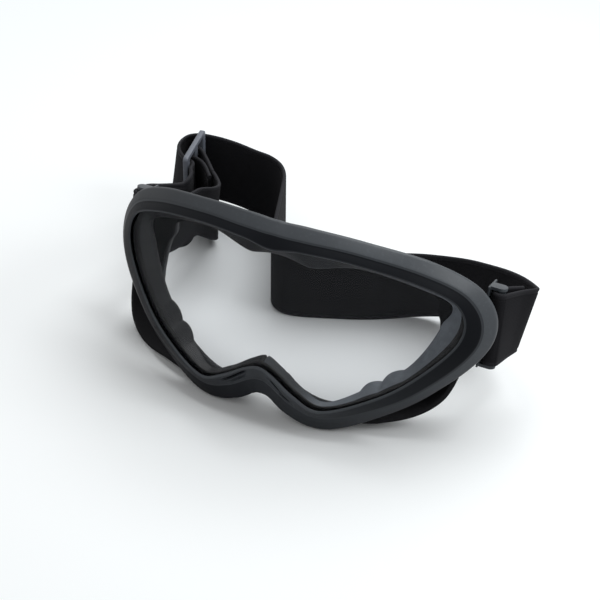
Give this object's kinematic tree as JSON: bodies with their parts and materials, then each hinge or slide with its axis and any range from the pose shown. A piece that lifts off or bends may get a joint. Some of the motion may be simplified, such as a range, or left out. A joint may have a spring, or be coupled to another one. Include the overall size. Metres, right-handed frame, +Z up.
{
  "type": "ski-type safety goggles",
  "caption": "Dark grey ski-type safety goggles with a clear bent lens, foam-lined face skirt and a black webbing strap with a sliding buckle.",
  "frame": {"origin": "on the table under the middle of the goggles and strap", "axes": "+X to the right seen from the front, -Y out of the lens, +Z up"},
  "size_m": [0.2206, 0.15, 0.0929],
  "materials": {
    "rim_plastic": "satin dark grey moulding, darker on its inner face",
    "lens_clear": "clear and polished",
    "seat_rubber": "matte slate grey",
    "skirt_rubber": "matte black",
    "face_foam": "soft dark foam with a fleece face",
    "vent_foam": "open-cell foam",
    "grey_plastic": "satin slate grey",
    "webbing": "woven black elastic webbing",
    "thread": "matte thread"
  },
  "bodies": {
    "goggles": {"front_rim": "rim_plastic", "lens": "lens_clear", "lens_seat": "seat_rubber", "face_skirt": "skirt_rubber", "face_foam": "face_foam", "brow_vent_foam": "vent_foam", "left_nose_vent_foam": "vent_foam", "right_nose_vent_foam": "vent_foam", "left_strap_bracket": "rim_plastic", "right_strap_bracket": "rim_plastic", "strap_rear_run": "webbing", "strap_right_run": "webbing", "right_bar_loop": "webbing", "right_loop_stitches": "thread", "strap_weave": "webbing", "left_bar_loop": "webbing", "left_return_run": "webbing"},
    "slider": {"left_slider": "grey_plastic", "left_sewn_end": "webbing", "left_end_stitches": "thread"}
  },
  "joints": [
    {"name": "left_slider_slide", "type": "slide", "parent": "goggles", "child": "slider", "axis": [0.1925, -0.9813, 0], "range_m": [-0.003, 0.012], "deforming": ["strap_weave", "left_return_run"]}
  ]
}
